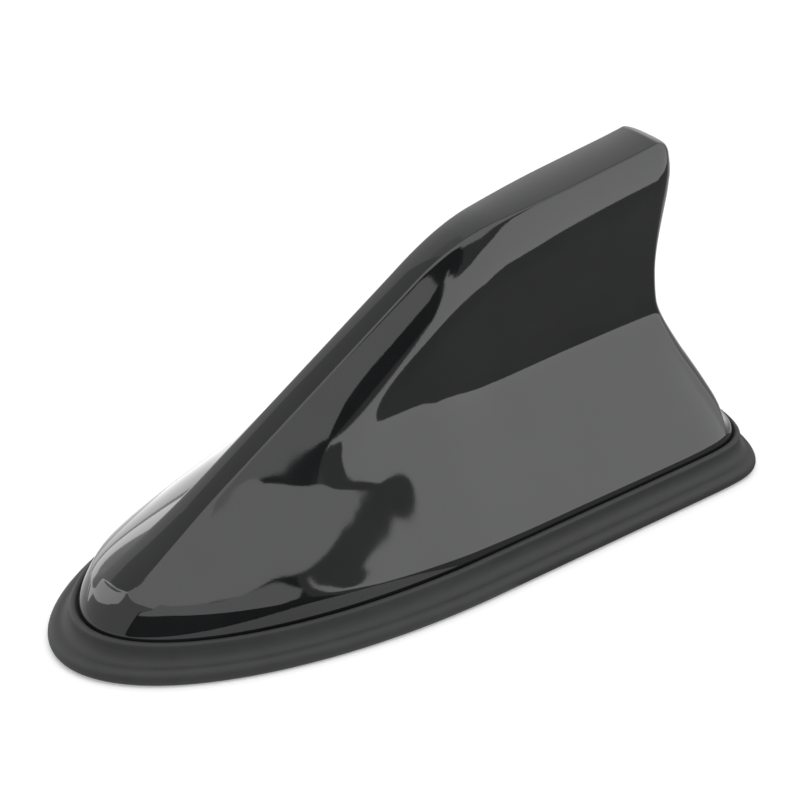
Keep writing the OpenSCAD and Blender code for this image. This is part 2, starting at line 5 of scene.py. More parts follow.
import bmesh
import bpy
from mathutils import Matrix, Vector


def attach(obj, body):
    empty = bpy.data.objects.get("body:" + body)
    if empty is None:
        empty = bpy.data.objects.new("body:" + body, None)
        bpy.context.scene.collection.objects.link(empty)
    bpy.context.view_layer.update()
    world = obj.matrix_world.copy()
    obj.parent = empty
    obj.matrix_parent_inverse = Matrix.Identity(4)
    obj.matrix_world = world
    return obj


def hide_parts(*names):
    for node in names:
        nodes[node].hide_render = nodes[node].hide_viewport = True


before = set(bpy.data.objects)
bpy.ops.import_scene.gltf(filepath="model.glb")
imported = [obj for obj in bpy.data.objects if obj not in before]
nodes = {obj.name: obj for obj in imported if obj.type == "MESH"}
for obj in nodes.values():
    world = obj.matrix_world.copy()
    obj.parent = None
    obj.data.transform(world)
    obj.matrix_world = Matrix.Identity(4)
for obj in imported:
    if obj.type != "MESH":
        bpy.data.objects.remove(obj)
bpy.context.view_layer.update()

MM = 0.001

# Sizes of the cover and gasket, mm, as in the part's source. x runs from nose to tail, and z is
# the height over the roof. A pair that a ramp takes is the x where it starts and its length.
LEN, WID = 165.0, 71.5
SKIRT_NOSE, SKIRT_SIDE, SKIRT_TAIL = 6.7, 5.35, 4.3
WIDEST_X, TAIL_SQUARE, TAIL_ROUND = -0.6, 19.5, 3.3
SKIRT_SQUARE, SKIRT_ROUND = 24.0, 1.4
RIM_Z = 7.0
FRONT_Z, FRONT_SLOPE, FRONT_AT = 40.2, 0.61, -25.0  # the crease line, with its height at x
REAR_Z, REAR_SLOPE, REAR_AT = 68.4, 0.113, 50.0
BEND_HALF, NOSE_FULL, NOSE_FULL_AT = 10.0, 0.0042, -52.0
BAND_FRONT, BAND_TIP, BAND_NOSE, BAND_CROWN = 3.45, 5.4, 4.25, 0.5
BAND_WIDENS, BAND_CLOSES, BAND_FLAT = (2.0, 43.0), (-45.0, -25.0), 3.0
CREASE_START = 5.4
BLADE_FRONT, BLADE_REAR, BLADE_THINS, SHOULDER = 9.3, 8.4, (0.0, 60.0), 12.0
BLADE_GROWS = (-46.0, 26.0)
ROOT_Z, ROOT_SOFT = (32.0, 30.8), (3.2, 2.0)  # at the front and the rear of the blade
ROOT_TURNS = (0.0, 22.0)
ROOT_BLEND, RUN_BLEND = 3.0, 2.0  # how softly the root and the crease's two runs turn
SKIRT_FULL, SKIRT_FLATTENS = (0.42, 0.08), (-55.0, 50.0)
HOLLOW, HOLLOW_Z, HOLLOW_SLOPE = 0.3, 22.1, 0.165
HOLLOW_STARTS, HOLLOW_ENDS = (-44.0, 10.0), (-8.0, -8.0)
HOLLOW_OVER, HOLLOW_UNDER, HOLLOW_SOFT = 8.0, 9.0, 0.5  # how it fades above and below its line
HOLLOW_FOOT, HOLLOW_HEAD = 3.0, 1.5  # how it fades next to the panel's foot and the crease
LOW_NOSE, LOW_TAIL, LOW_FALLS, LOW_POWER = 5.6, 2.0, (18.0, -95.0), 1.5
LEAN_SIDE, LEAN_NOSE = 0.6, 3.4
NOSE_TURN, NOSE_POWER = 14.0, 0.8  # degrees in which the crease opens at the nose, and how
WAIST_IN, WAIST_Z, TIP_LEAN, TIP_ROUND, FOOT_IN = 13.45, 43.0, 4.7, 3.0, 8.5
LEAN_ENDS, LEAN_POWER = 0.9, 4.2  # the rear edge's lean: its end under the tip, and how
FOOT_Z, FOOT_POWER, FOOT_JOINS = 9.0, 1.75, (0.85, 0.15)  # the rear edge's run to the foot
REAR_DEEP, REAR_WAIST, REAR_FOOT, REAR_FOOT_LOW = 6.0, 2.6, 3.9, 0.7
REAR_SWELLS = (1.0, 18.0)  # from this far under the waist, over this height
REAR_CLOSES = (0.82, 8.0, 1.7)  # share lost at the tip, over this height, and its power
REAR_SPREADS = (34.0, 22.0, 1.5)  # down from this height, over this height, and its power
REAR_LOW = (24.0, 12.0)
CORNER_HIGH, CORNER_LOW = 3.0, 5.0  # how square the rear face's corners are in plan
TAIL_TURNS = (12.0, 10.0)  # the rear face meets the lower edge's outline over this height
COVER_WALL, BOSS_WALL = 2.2, 1.4
SET_BAND, SET_CREASE, SET_FOOT = 0.6, 1.15, 0.55  # share of a wall's thickness at its edges
SET_CROWN, SET_NOSE = 0.3, (-60.0, -12.0)
PLATE_IN, FLANGE_W, PLATE_Z = 2.8, 3.0, 2.0
BEAD_H, BEAD_W, BEAD_GAP, SIDE_GAP = 0.65, 1.3, 0.15, 0.2
BOSS_AT = [(-56, 9.52), (-20, 21.2), (22, 21.2), (58, 21.2)]
BOSS_R, BOSS_FOOT = 3.0, 5.0
NOSE_BOSS_X, NOSE_BOSS_TOP = -50.0, 13.0  # bosses in front of this x end at this height
TIP_AT = 46.75

NOSE_X = -LEN / 2 + SKIRT_NOSE
TAIL_X = LEN / 2 - SKIRT_TAIL
RIM_W = WID / 2 - SKIRT_SIDE
CREASE_NOSE = NOSE_X + CREASE_START
WAIST_X = TAIL_X - WAIST_IN
FOOT_X = TAIL_X - FOOT_IN
TIP_Z = REAR_Z + REAR_SLOPE * (WAIST_X - TIP_AT)
FAN_END, AFT_START = -46.0, 35.0  # where the nose fan ends and the tail run starts
EDGE_SOFT = 0.35  # radius of the fine edges of the moulding


def mix(a, b, t):
    return a + (b - a) * t


def clamp(t):
    return min(max(t, 0.0), 1.0)


def smooth(t):
    t = clamp(t)
    return t * t * (3 - 2 * t)


def ramp(x, start, span):
    return smooth((x - start) / span)


def half_w(x, s=0.0, sn=0.0, st=0.0):
    """Half width of the lower edge at x, set in by s, and by sn and st at nose and tail."""
    d = x - WIDEST_X
    if d < 0:
        return (RIM_W - s) * math.sqrt(max(0.0, 1 - (d / (NOSE_X + sn - WIDEST_X)) ** 2))
    far = max(0.0, 1 - (d / (TAIL_X - st - WIDEST_X)) ** TAIL_SQUARE)
    return (RIM_W - s) * far ** (1 / TAIL_ROUND)


def tail_at(y, s, st):
    """x of the lower edge's tail end at y."""
    far = max(0.0, 1 - min(1.0, y / (RIM_W - s)) ** TAIL_ROUND)
    return WIDEST_X + (TAIL_X - st - WIDEST_X) * far ** (1 / TAIL_SQUARE)


BEND_X = (REAR_Z - REAR_SLOPE * REAR_AT - FRONT_Z + FRONT_SLOPE * FRONT_AT) \
    / (FRONT_SLOPE - REAR_SLOPE)
BEND_Z = FRONT_Z + FRONT_SLOPE * (BEND_X - FRONT_AT)


def crease_z(x):
    """Height of the crease between the top band and the side."""
    d = x - BEND_X
    if d < -BEND_HALF:
        run = FRONT_SLOPE * d
    elif d > BEND_HALF:
        run = REAR_SLOPE * d
    else:
        turn = (REAR_SLOPE - FRONT_SLOPE) * (d + BEND_HALF) ** 2 / (4 * BEND_HALF)
        run = FRONT_SLOPE * d + turn
    return BEND_Z + NOSE_FULL * min(x - NOSE_FULL_AT, 0) ** 2 + run


def band_w(x):
    """Half width of the top band."""
    wide = (BAND_TIP - BAND_FRONT) * ramp(x, *BAND_WIDENS)
    return BAND_FRONT + wide + (BAND_NOSE - BAND_FRONT) * ramp(x, *BAND_CLOSES)


def low_h(x):
    """Height of the strip between the panel's foot and the lower edge."""
    return mix(LOW_TAIL, LOW_NOSE, ramp(x, *LOW_FALLS))


def depth(x, z):
    """Distance of the point x, z below the two straight runs of the crease."""
    a = (FRONT_Z + FRONT_SLOPE * (x - FRONT_AT) - z) / math.sqrt(1 + FRONT_SLOPE**2)
    b = (REAR_Z + REAR_SLOPE * (x - REAR_AT) - z) / math.sqrt(1 + REAR_SLOPE**2)
    return (a + b - math.sqrt((a - b) ** 2 + RUN_BLEND**2)) / 2


def edge_x(z):
    """x of the side's rear edge at height z: it leans out over the waist and to the foot."""
    if z > WAIST_Z:
        up = clamp((z - TIP_Z + TIP_ROUND) / TIP_ROUND)
        round_top = TIP_ROUND * (1 - math.sqrt(1 - up**2))
        lean = clamp((z - WAIST_Z) / (TIP_Z - LEAN_ENDS - WAIST_Z)) ** LEAN_POWER
        return WAIST_X + TIP_LEAN * lean - round_top
    return mix(WAIST_X, FOOT_X, ((WAIST_Z - z) / (WAIST_Z - FOOT_Z)) ** FOOT_POWER)


def low_share(z):
    """0 above the lowest part of the rear face, growing to 1 at its foot."""
    start, span = REAR_LOW
    return clamp((start - z) / span)


def bulge(z):
    """How far the rear face stands out behind its edges."""
    under, rise = REAR_SWELLS
    high = mix(REAR_WAIST, REAR_DEEP, smooth((z - WAIST_Z + under) / rise))
    share, fall, power = REAR_CLOSES
    high *= 1 - share * (1 - clamp((TIP_Z - z) / fall)) ** power
    start, span, power = REAR_SPREADS
    low = REAR_FOOT * (1 - (1 - clamp((start - z) / span)) ** power)
    return high + low * mix(1, REAR_FOOT_LOW, low_share(z))


def side_raw(x, z, zs, w, t, yb, zb):
    """Half width at x, z: a blade of half thickness t, blended into the skirt at its root."""
    q = clamp((depth(x, z) - depth(x, zs)) / SHOULDER)
    wall = w + max(t - w, 0) * (1 - (1 - q) ** 2)
    grow = ramp(x, *BLADE_GROWS)
    aft = ramp(x, *ROOT_TURNS)
    root_z = mix(*ROOT_Z, aft)
    root = (zs + root_z - math.sqrt((zs - root_z) ** 2 + ROOT_BLEND**2)) / 2
    zv = mix(zs, min(zs, root), grow)
    wv = mix(w, t, grow)
    full = mix(*SKIRT_FULL, ramp(x, *SKIRT_FLATTENS))
    d = (zv - z) / (zv - zb)
    skirt = wv + (yb - wv) * (d + full * d * (1 - d) if d > 0 else d * (1 + full))
    r = mix(*ROOT_SOFT, aft) * grow
    return (wall + skirt + math.sqrt((wall - skirt) ** 2 + 4 * r * r)) / 2


def hollow(x, z, zs, zb):
    """Depth of the fine hollow where the foot of the blade runs out into the nose."""
    along = ramp(x, *HOLLOW_STARTS) * ramp(x, *HOLLOW_ENDS)
    steps = (-HOLLOW_SOFT, 0.0, HOLLOW_SOFT)
    total = 0.0
    for step in steps:
        u = z - HOLLOW_Z + HOLLOW_SLOPE * x + step
        total += (1 - clamp(u / HOLLOW_OVER)) ** 2 if u > 0 else math.exp(u / HOLLOW_UNDER)
    deep = HOLLOW * along * total / len(steps)
    return deep * smooth((z - zb) / HOLLOW_FOOT) * smooth((zs - z) / HOLLOW_HEAD)


def side_y(x, z, zs, yb, zb, k):
    """Half width of the side at x, z, set in by k, between the crease and the foot."""
    w = band_w(x) - SET_BAND * k
    t = mix(BLADE_FRONT, BLADE_REAR, ramp(x, *BLADE_THINS)) - k
    s = (zs - z) / (zs - zb)
    ends = mix(side_raw(x, zs, zs, w, t, yb, zb) - w, side_raw(x, zb, zs, w, t, yb, zb) - yb, s)
    return side_raw(x, z, zs, w, t, yb, zb) - ends - hollow(x, z, zs, zb)


def foot_pt(x, k):
    """Foot of the side panel at x."""
    y = half_w(x, LEAN_SIDE + SET_CREASE * k, LEAN_NOSE + SET_BAND * k, LEAN_SIDE + k)
    return (x, y, RIM_Z + low_h(x) - SET_FOOT * k)


NOSE_B = NOSE_X + LEAN_NOSE
FAN_A = math.acos((FAN_END - WIDEST_X) / (NOSE_B - WIDEST_X))


def fan_pt(t, d, k):
    """Nose part of the side; t runs round the nose and d down from the crease."""
    a = FAN_A * t
    xb = WIDEST_X + (NOSE_B - WIDEST_X) * math.cos(a)
    xf = xb + SET_BAND * k * ramp(xb, *SET_NOSE)
    b = foot_pt(xf, k)
    if t == 0:
        b = (NOSE_B + SET_BAND * k, 0.0, RIM_Z + low_h(NOSE_B) - SET_FOOT * k)
    q = clamp(math.degrees(a) / NOSE_TURN)
    blend = smooth((xb - NOSE_B) / (FAN_END - NOSE_B))
    xc = mix(xb + CREASE_NOSE - NOSE_B + SET_CROWN * k, xb, blend)
    yc = (band_w(xc) - SET_BAND * k) * math.sin(math.pi / 2 * q) ** NOSE_POWER
    zc = crease_z(xc) - SET_CREASE * k
    full = mix(*SKIRT_FULL, ramp(xb, *SKIRT_FLATTENS))
    return (mix(xc, b[0], d), yc + (b[1] - yc) * (d + full * d * (1 - d)), mix(zc, b[2], d))


def mid_pt(x, d, k):
    b = foot_pt(x, k)
    zs = crease_z(x) - SET_CREASE * k
    z = mix(zs, b[2], d)
    return (x, side_y(x, z, zs, b[1], b[2], k), z)


def aft_pt(f, d, k):
    x = mix(AFT_START, edge_x(TIP_Z) - k, f)
    b = foot_pt(mix(AFT_START, FOOT_X - k, f), k)
    zs = crease_z(x) - SET_CREASE * k
    z = mix(zs, b[2], d)
    xx = mix(AFT_START, edge_x(z) - k, f)
    return (mix(xx, b[0], ramp(d, *FOOT_JOINS)), side_y(xx, z, zs, b[1], b[2], k), z)


def side_pt(u, d, k=0.0):
    """u runs 0..1 over the nose fan, 1..2 over the middle, 2..3 to the rear edge."""
    if u <= 1:
        return fan_pt(u, d, k)
    if u <= 2:
        return mid_pt(mix(FAN_END, AFT_START, u - 1), d, k)
    return aft_pt(u - 2, d, k)


def rear_pt(p, d, k=0.0):
    """p runs 0..1 from the rear edge to the centre plane."""
    e = side_pt(3.0, d, k)
    c, s = math.cos(math.pi / 2 * p), math.sin(math.pi / 2 * p)
    n = mix(CORNER_HIGH, CORNER_LOW, low_share(e[2]))
    y = e[1] * c ** (2 / n) if p < 1 else 0.0
    x1 = e[0] + bulge(e[2]) * s ** (2 / n)
    x2 = e[0] + tail_at(y, LEAN_SIDE + SET_CREASE * k, LEAN_SIDE + k)
    x2 -= tail_at(e[1], LEAN_SIDE + SET_CREASE * k, LEAN_SIDE + k)
    start, span = TAIL_TURNS
    q = clamp((RIM_Z + start - e[2]) / span)
    return (mix(x1, x2, q * q), y, e[2])


def face_pt(s, d, k=0.0):
    """s runs 0..3 along the side, then 3..4 across the rear face."""
    return side_pt(s, d, k) if s <= 3 else rear_pt(s - 3, d, k)


def rim_pt(s, k=0.0):
    """Point on the cover's lower edge."""
    b = face_pt(s, 1.0, k)
    if s == 0:
        return (NOSE_X + k, 0.0, RIM_Z)
    if s <= 1:
        a = FAN_A * s
        x = WIDEST_X + (NOSE_X + k - WIDEST_X) * math.cos(a)
        return (x, (RIM_W - k) * math.sin(a), RIM_Z)
    if s <= 3:
        return (b[0], half_w(b[0], k, k, k), RIM_Z)
    e = side_pt(3.0, 1.0, k)
    y = b[1] * half_w(e[0], k, k, k) / e[1]
    return (tail_at(y, k, k), y, RIM_Z)


def low_pt(s, t, k=0.0):
    """t runs 0..1 from the panel's foot to the lower edge."""
    b, r = face_pt(s, 1.0, k), rim_pt(s, k)
    g = 1 - clamp(1 - t) ** LOW_POWER
    return (mix(b[0], r[0], g), mix(b[1], r[1], g), mix(b[2], r[2], t))


def arc(a, c, b, n):
    """Points on a soft edge from a to b, with the sharp edge at c."""
    out = []
    for i in range(1, n):
        t = i / n
        out.append(tuple((1 - t) ** 2 * a[j] + 2 * t * (1 - t) * c[j] + t * t * b[j]
                         for j in range(3)))
    return out


def reach(f, size, start=0.02):
    """The parameter at which f has moved size from f(0)."""
    a, t = Vector(f(0)), start
    for _ in range(4):
        t *= size / max((Vector(f(t)) - a).length, 1e-6)
        t = min(t, 0.2)
    return t


PANEL_ROWS, LOW_ROWS, SOFT_ROWS, REAR_COLS = 84, 10, 4, 22
FAN_COLS, MID_COLS, AFT_COLS = 64, 130, 60
PANEL_CROWD, REAR_CROWD = 1.15, 1.5  # rows and columns crowd towards the creases
INNER_FAN, INNER_MID, INNER_AFT, INNER_REAR, INNER_LOW, INNER_PANEL = 12, 20, 10, 8, 3, 14
BOSS_SIDES = 32


def lower_rows(s):
    """Rows of one column from the crease down to the lower edge, edges softened."""
    crease = face_pt(s, 0.0)
    d0 = reach(lambda d: face_pt(s, d), EDGE_SOFT)
    d1 = 1 - reach(lambda d: face_pt(s, 1 - d), EDGE_SOFT)
    t1 = reach(lambda t: low_pt(s, t), EDGE_SOFT, 0.1)
    panel = [d0 + (d1 - d0) * (i / PANEL_ROWS) ** PANEL_CROWD
             for i in range(PANEL_ROWS + 1)]
    rows = [face_pt(s, d) for d in panel]
    rows += arc(rows[-1], face_pt(s, 1.0), low_pt(s, t1), SOFT_ROWS)
    rows += [low_pt(s, t1 + (1 - t1) * i / LOW_ROWS) for i in range(LOW_ROWS + 1)]
    return crease, rows


def band_z(x, y, w, zc):
    """Crowned band between the creases; it flattens where the creases close at the nose."""
    crown = BAND_CROWN * clamp(w / BAND_FLAT)
    return zc + crown * (1 - (y / w) ** 2) if w > 1e-6 else zc


def cover_columns():
    """Columns of points over one half of the cover: side columns, then rear columns."""
    share = [math.cos(math.pi / 2 * i / REAR_COLS) ** (2 / CORNER_HIGH)
             for i in range(REAR_COLS + 1)]
    stops = [i / FAN_COLS for i in range(FAN_COLS)]
    stops += [1 + i / MID_COLS for i in range(MID_COLS)]
    stops += [2 + i / AFT_COLS for i in range(AFT_COLS + 1)]
    side = []
    for s in stops:
        crease, rows = lower_rows(s)
        w = max(crease[1] - EDGE_SOFT, 0.0)
        band = []
        for f in reversed(share):
            y = w * f
            band.append((crease[0], y, band_z(crease[0], y, max(crease[1], 1e-6), crease[2])))
        soft = arc(band[-1], crease, rows[0], SOFT_ROWS)
        side.append(band + soft + rows)
    start = len(share)
    edge = side[-1]
    rear = [[edge[start - 1]] + edge[start - 1:]]
    for i in range(1, REAR_COLS + 1):
        crease, rows = lower_rows(3 + (i / REAR_COLS) ** REAR_CROWD)
        top = Vector(edge[REAR_COLS - i])
        inset = top - Vector(crease)
        near = tuple(Vector(crease) + inset * min(1.0, EDGE_SOFT / max(inset.length, 1e-6)))
        rear.append([tuple(top), near] + arc(near, crease, rows[0], SOFT_ROWS) + rows)
    return side, rear


def add_grid(bm, columns):
    """Quads between neighbouring columns of equal length."""
    made = [[bm.verts.new(Vector(p) * MM) for p in col] for col in columns]
    for a, b in zip(made, made[1:]):
        for i in range(len(a) - 1):
            bm.faces.new((a[i], b[i], b[i + 1], a[i + 1]))
    return made


def wall_z(x, y, k):
    """Height at which the side surface set in by k passes over the point x, y."""
    b = foot_pt(x, k)
    zs = crease_z(x) - SET_CREASE * k
    low, high = b[2], zs
    for _ in range(30):
        z = (low + high) / 2
        if side_y(x, z, zs, b[1], b[2], k) > y:
            low = z
        else:
            high = z
    return low


def mirrored(column, sign):
    return [(p[0], sign * p[1], p[2]) for p in column]


def inner_columns():
    """Columns of points from the lower edge up the inside wall to the centre plane."""
    stops = [i / INNER_FAN for i in range(INNER_FAN)]
    stops += [1 + i / INNER_MID for i in range(INNER_MID)]
    stops += [2 + i / INNER_AFT for i in range(INNER_AFT + 1)]
    stops += [3 + i / INNER_REAR for i in range(1, INNER_REAR + 1)]
    columns = []
    for s in stops:
        col = [rim_pt(s)]
        col += [low_pt(s, 1 - i / INNER_LOW, COVER_WALL) for i in range(INNER_LOW + 1)]
        col += [face_pt(s, 1 - i / INNER_PANEL, COVER_WALL) for i in range(1, INNER_PANEL + 1)]
        columns.append(col + [(col[-1][0], 0.0, col[-1][2])])
    return columns


def add_boss(bm, x, y, sign):
    """Screw boss from its foot up into the wall."""
    foot, top = [], []
    for i in range(BOSS_SIDES + 1):
        a = math.tau * i / BOSS_SIDES
        px, py = x + BOSS_R * math.cos(a), y + BOSS_R * math.sin(a)
        high = wall_z(px, py, BOSS_WALL) if x > NOSE_BOSS_X else NOSE_BOSS_TOP
        foot.append((px, sign * py, BOSS_FOOT))
        top.append((px, sign * py, high))
    add_grid(bm, [foot, top])
    add_grid(bm, [[(x, sign * y, BOSS_FOOT)] * len(foot), foot])


def cover_mesh():
    side, rear = cover_columns()
    inner = inner_columns()
    bm = bmesh.new()
    for sign in (1, -1):
        for columns in (side, rear, inner):
            add_grid(bm, [mirrored(c, sign) for c in columns])
    for x, y in BOSS_AT:
        for sign in (1, -1):
            add_boss(bm, x, y, sign)
    bmesh.ops.remove_doubles(bm, verts=bm.verts, dist=2e-6)
    bmesh.ops.dissolve_degenerate(bm, edges=bm.edges, dist=1e-7)
    bmesh.ops.recalc_face_normals(bm, faces=bm.faces)
    return bm


def new_object(name, bm):
    mesh = bpy.data.meshes.new(name)
    bm.to_mesh(mesh)
    bm.free()
    for p in mesh.polygons:
        p.use_smooth = True
    obj = bpy.data.objects.new(name, mesh)
    bpy.context.scene.collection.objects.link(obj)
    return obj


FLAT_END = 0.94  # share of the tail's length at which the outline turns to steps in y


def grow_outline(r, n=56):
    """Plan outline r outside the cover's lower edge, closed, one half then the other."""
    rn = r * SKIRT_NOSE / SKIRT_SIDE if r > 0 else r
    rt = r * SKIRT_TAIL / SKIRT_SIDE if r > 0 else r
    pts = []
    for i in range(n + 1):
        a = math.pi / 2 * i / n
        pts.append((WIDEST_X + (NOSE_X - rn - WIDEST_X) * math.cos(a), (RIM_W + r) * math.sin(a)))
    reach_x = TAIL_X + rt - WIDEST_X
    ts = mix(TAIL_SQUARE, SKIRT_SQUARE, max(r, 0) / SKIRT_SIDE)
    tr = mix(TAIL_ROUND, SKIRT_ROUND, max(r, 0) / SKIRT_SIDE)
    for i in range(1, n // 2 + 1):
        f = FLAT_END * (1 - (1 - 2 * i / n) ** 2)
        pts.append((WIDEST_X + reach_x * f, (RIM_W + r) * (1 - f**ts) ** (1 / tr)))
    edge = (1 - FLAT_END**ts) ** (1 / tr)
    for i in range(1, n // 2 + 1):
        y = edge * math.cos(math.pi * i / n)
        pts.append((WIDEST_X + reach_x * (1 - y**tr) ** (1 / ts), (RIM_W + r) * y))
    return pts + [(x, -y) for x, y in reversed(pts[1:-1])]


SKIRT_EDGE, SKIRT_HIGH = 1.75, 3.65  # radius of the gasket's outer edge, and its top
SKIRT_DROP = 0.2  # step down from the bead's foot to the flank
SKIRT_UNDER = [(1.1, 0.15), (1.8, 0)]  # inward of the outer edge, and height
LIP_STEPS, EDGE_STEPS, EDGE_TURN = 12, 15, 10  # the last in degrees for a step


def lip_profile():
    """Section of the gasket: distance outside the cover's lower edge, and height."""
    s = SKIRT_SIDE
    pts = [(-PLATE_IN - FLANGE_W, 0), (-PLATE_IN - FLANGE_W, PLATE_Z),
           (-PLATE_IN + SIDE_GAP, PLATE_Z), (-PLATE_IN + SIDE_GAP, RIM_Z), (BEAD_GAP, RIM_Z)]
    for i in range(1, LIP_STEPS + 1):
        a = math.pi * i / LIP_STEPS
        pts.append((BEAD_GAP + BEAD_W * 0.5 * (1 - math.cos(a)), RIM_Z + BEAD_H * math.sin(a)))
    for i in range(1, LIP_STEPS + 1):
        a = math.pi / 2 * i / LIP_STEPS
        pts.append((mix(BEAD_GAP + BEAD_W, s - SKIRT_EDGE, 1 - math.cos(a)),
                    mix(RIM_Z - SKIRT_DROP, SKIRT_HIGH, math.sin(a))))
    for i in range(1, EDGE_STEPS + 1):
        a = math.radians(90 - EDGE_TURN * i)
        pts.append((s - SKIRT_EDGE + SKIRT_EDGE * math.cos(a),
                    SKIRT_HIGH - SKIRT_EDGE + SKIRT_EDGE * math.sin(a)))
    return pts + [(s - inward, z) for inward, z in SKIRT_UNDER]


def gasket_mesh():
    bm = bmesh.new()
    rings = []
    for r, z in lip_profile():
        ring = [(x, y, z) for x, y in grow_outline(r)]
        rings.append(ring + ring[:1])
    add_grid(bm, rings + rings[:1])
    bmesh.ops.remove_doubles(bm, verts=bm.verts, dist=2e-6)
    bmesh.ops.recalc_face_normals(bm, faces=bm.faces)
    return bm


# Materials

def material(name, color, rough, metal=0.0):
    mat = bpy.data.materials.new(name)
    mat.use_nodes = True
    bsdf = mat.node_tree.nodes["Principled BSDF"]
    bsdf.inputs["Base Color"].default_value = (*color, 1)
    bsdf.inputs["Roughness"].default_value = rough
    bsdf.inputs["Metallic"].default_value = metal
    return mat, mat.node_tree, bsdf


def varied(tree, bsdf, color, amount, scale, rough, rough_span, bump=0.0, bump_scale=800.0):
    """Procedural colour and roughness variation, and a fine bump, in object space."""
    n, link = tree.nodes, tree.links
    where = n.new("ShaderNodeTexCoord")
    noise = n.new("ShaderNodeTexNoise")
    noise.inputs["Scale"].default_value = scale
    noise.inputs["Detail"].default_value = 4
    link.new(where.outputs["Object"], noise.inputs["Vector"])
    tint = n.new("ShaderNodeValToRGB")
    dark = [c * (1 - amount) for c in color]
    light = [min(1.0, c * (1 + amount)) for c in color]
    for stop, place, shade in zip(tint.color_ramp.elements, (0.3, 0.7), (dark, light)):
        stop.position = place
        stop.color = (*shade, 1)
    link.new(noise.outputs["Fac"], tint.inputs["Fac"])
    link.new(tint.outputs["Color"], bsdf.inputs["Base Color"])
    span = n.new("ShaderNodeMapRange")
    span.inputs["To Min"].default_value = rough - rough_span
    span.inputs["To Max"].default_value = rough + rough_span
    link.new(noise.outputs["Fac"], span.inputs["Value"])
    link.new(span.outputs["Result"], bsdf.inputs["Roughness"])
    if bump:
        fine = n.new("ShaderNodeTexNoise")
        fine.inputs["Scale"].default_value = bump_scale
        fine.inputs["Detail"].default_value = 3
        link.new(where.outputs["Object"], fine.inputs["Vector"])
        relief = n.new("ShaderNodeBump")
        relief.inputs["Strength"].default_value = bump
        relief.inputs["Distance"].default_value = 0.0001
        link.new(fine.outputs["Fac"], relief.inputs["Height"])
        link.new(relief.outputs["Normal"], bsdf.inputs["Normal"])


def gloss_black():
    color = (0.008, 0.0085, 0.009)
    mat, tree, bsdf = material("gloss_black", color, 0.05)
    bsdf.inputs["IOR"].default_value = 1.5
    varied(tree, bsdf, color, amount=0.25, scale=60.0, rough=0.05, rough_span=0.01,
           bump=0.02, bump_scale=2500.0)
    return mat


def seal_rubber():
    color = (0.023, 0.0235, 0.024)
    mat, tree, bsdf = material("seal_rubber", color, 0.62)
    bsdf.inputs["Specular IOR Level"].default_value = 0.35
    varied(tree, bsdf, color, amount=0.12, scale=220.0, rough=0.62, rough_span=0.06,
           bump=0.25, bump_scale=3500.0)
    return mat


def plain(name, color, rough, metal=0.0, amount=0.08, scale=150.0, bump=0.15):
    mat, tree, bsdf = material(name, color, rough, metal)
    varied(tree, bsdf, color, amount, scale, rough, rough_span=min(0.06, rough / 3),
           bump=bump, bump_scale=1800.0)
    return mat


INNER = {
    "cast_alloy": (("base_plate",), (0.5, 0.5, 0.52), 0.42, 1.0),
    "seal_foam": (("neck_seal", "foam_pads"), (0.05, 0.05, 0.055), 0.9, 0.0),
    "grommet_rubber": (("cable_grommet",), (0.04, 0.04, 0.04), 0.6, 0.0),
    "plated_steel": (("cover_screws", "board_screws", "shield_can", "can_lid", "top_plate"),
                     (0.6, 0.6, 0.6), 0.3, 1.0),
    "board_green": (("main_board", "mast_board"), (0.03, 0.16, 0.07), 0.35, 0.0),
    "pad_white": (("gps_pad",), (0.75, 0.75, 0.7), 0.8, 0.0),
    "patch_ceramic": (("gps_patch",), (0.55, 0.48, 0.38), 0.6, 0.0),
    "silvered": (("gps_electrode",), (0.78, 0.78, 0.78), 0.25, 1.0),
    "brass_part": (("gps_feed_pin", "phone_element", "coax_sockets", "earth_springs"),
                   (0.72, 0.56, 0.26), 0.28, 1.0),
    "chip_black": (("tuner_chip",), (0.02, 0.02, 0.02), 0.5, 0.0),
    "holder_plastic": (("mast_holder", "coil_former"), (0.7, 0.69, 0.64), 0.5, 0.0),
    "copper_wire": (("loading_coil",), (0.7, 0.36, 0.2), 0.3, 1.0),
}


def dress(obj, mat):
    obj.data.materials.clear()
    obj.data.materials.append(mat)


def dress_inner():
    for name, (names, color, rough, metal) in INNER.items():
        mat = plain(name, color, rough, metal)
        for node in names:
            for holder in nodes[node].material_slots:
                holder.material = mat


def make_pieces():
    cover = new_object("fin_cover", cover_mesh())
    dress(cover, gloss_black())
    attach(cover, "root")
    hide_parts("cover")
    gasket = new_object("fin_gasket", gasket_mesh())
    dress(gasket, seal_rubber())
    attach(gasket, "root")
    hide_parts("gasket")


# Camera, floor and light

CAM_AZ, CAM_EL, CAM_DIST = 39.01, 30.58, 0.600
CAM_AIM = (0.00251, 0.0, 0.02942)
CAM_SENSOR, CAM_PIXELS = 36, 800
CAM_LENS = 4.85 * 600 / CAM_PIXELS * CAM_SENSOR  # 4.85 pixels to the mm at 600 mm
FILL_LIGHT, WHITE = 0.6, 1.0
FLOOR_RADIUS, FLOOR_PALE, FLOOR_LIFT = 4.0, 0.8, 0.3
LAMP_AZ, LAMP_EL, LAMP_FAR, LAMP_SIZE, LAMP_WATTS = -25, 62, 1.6, 1.2, 14.0


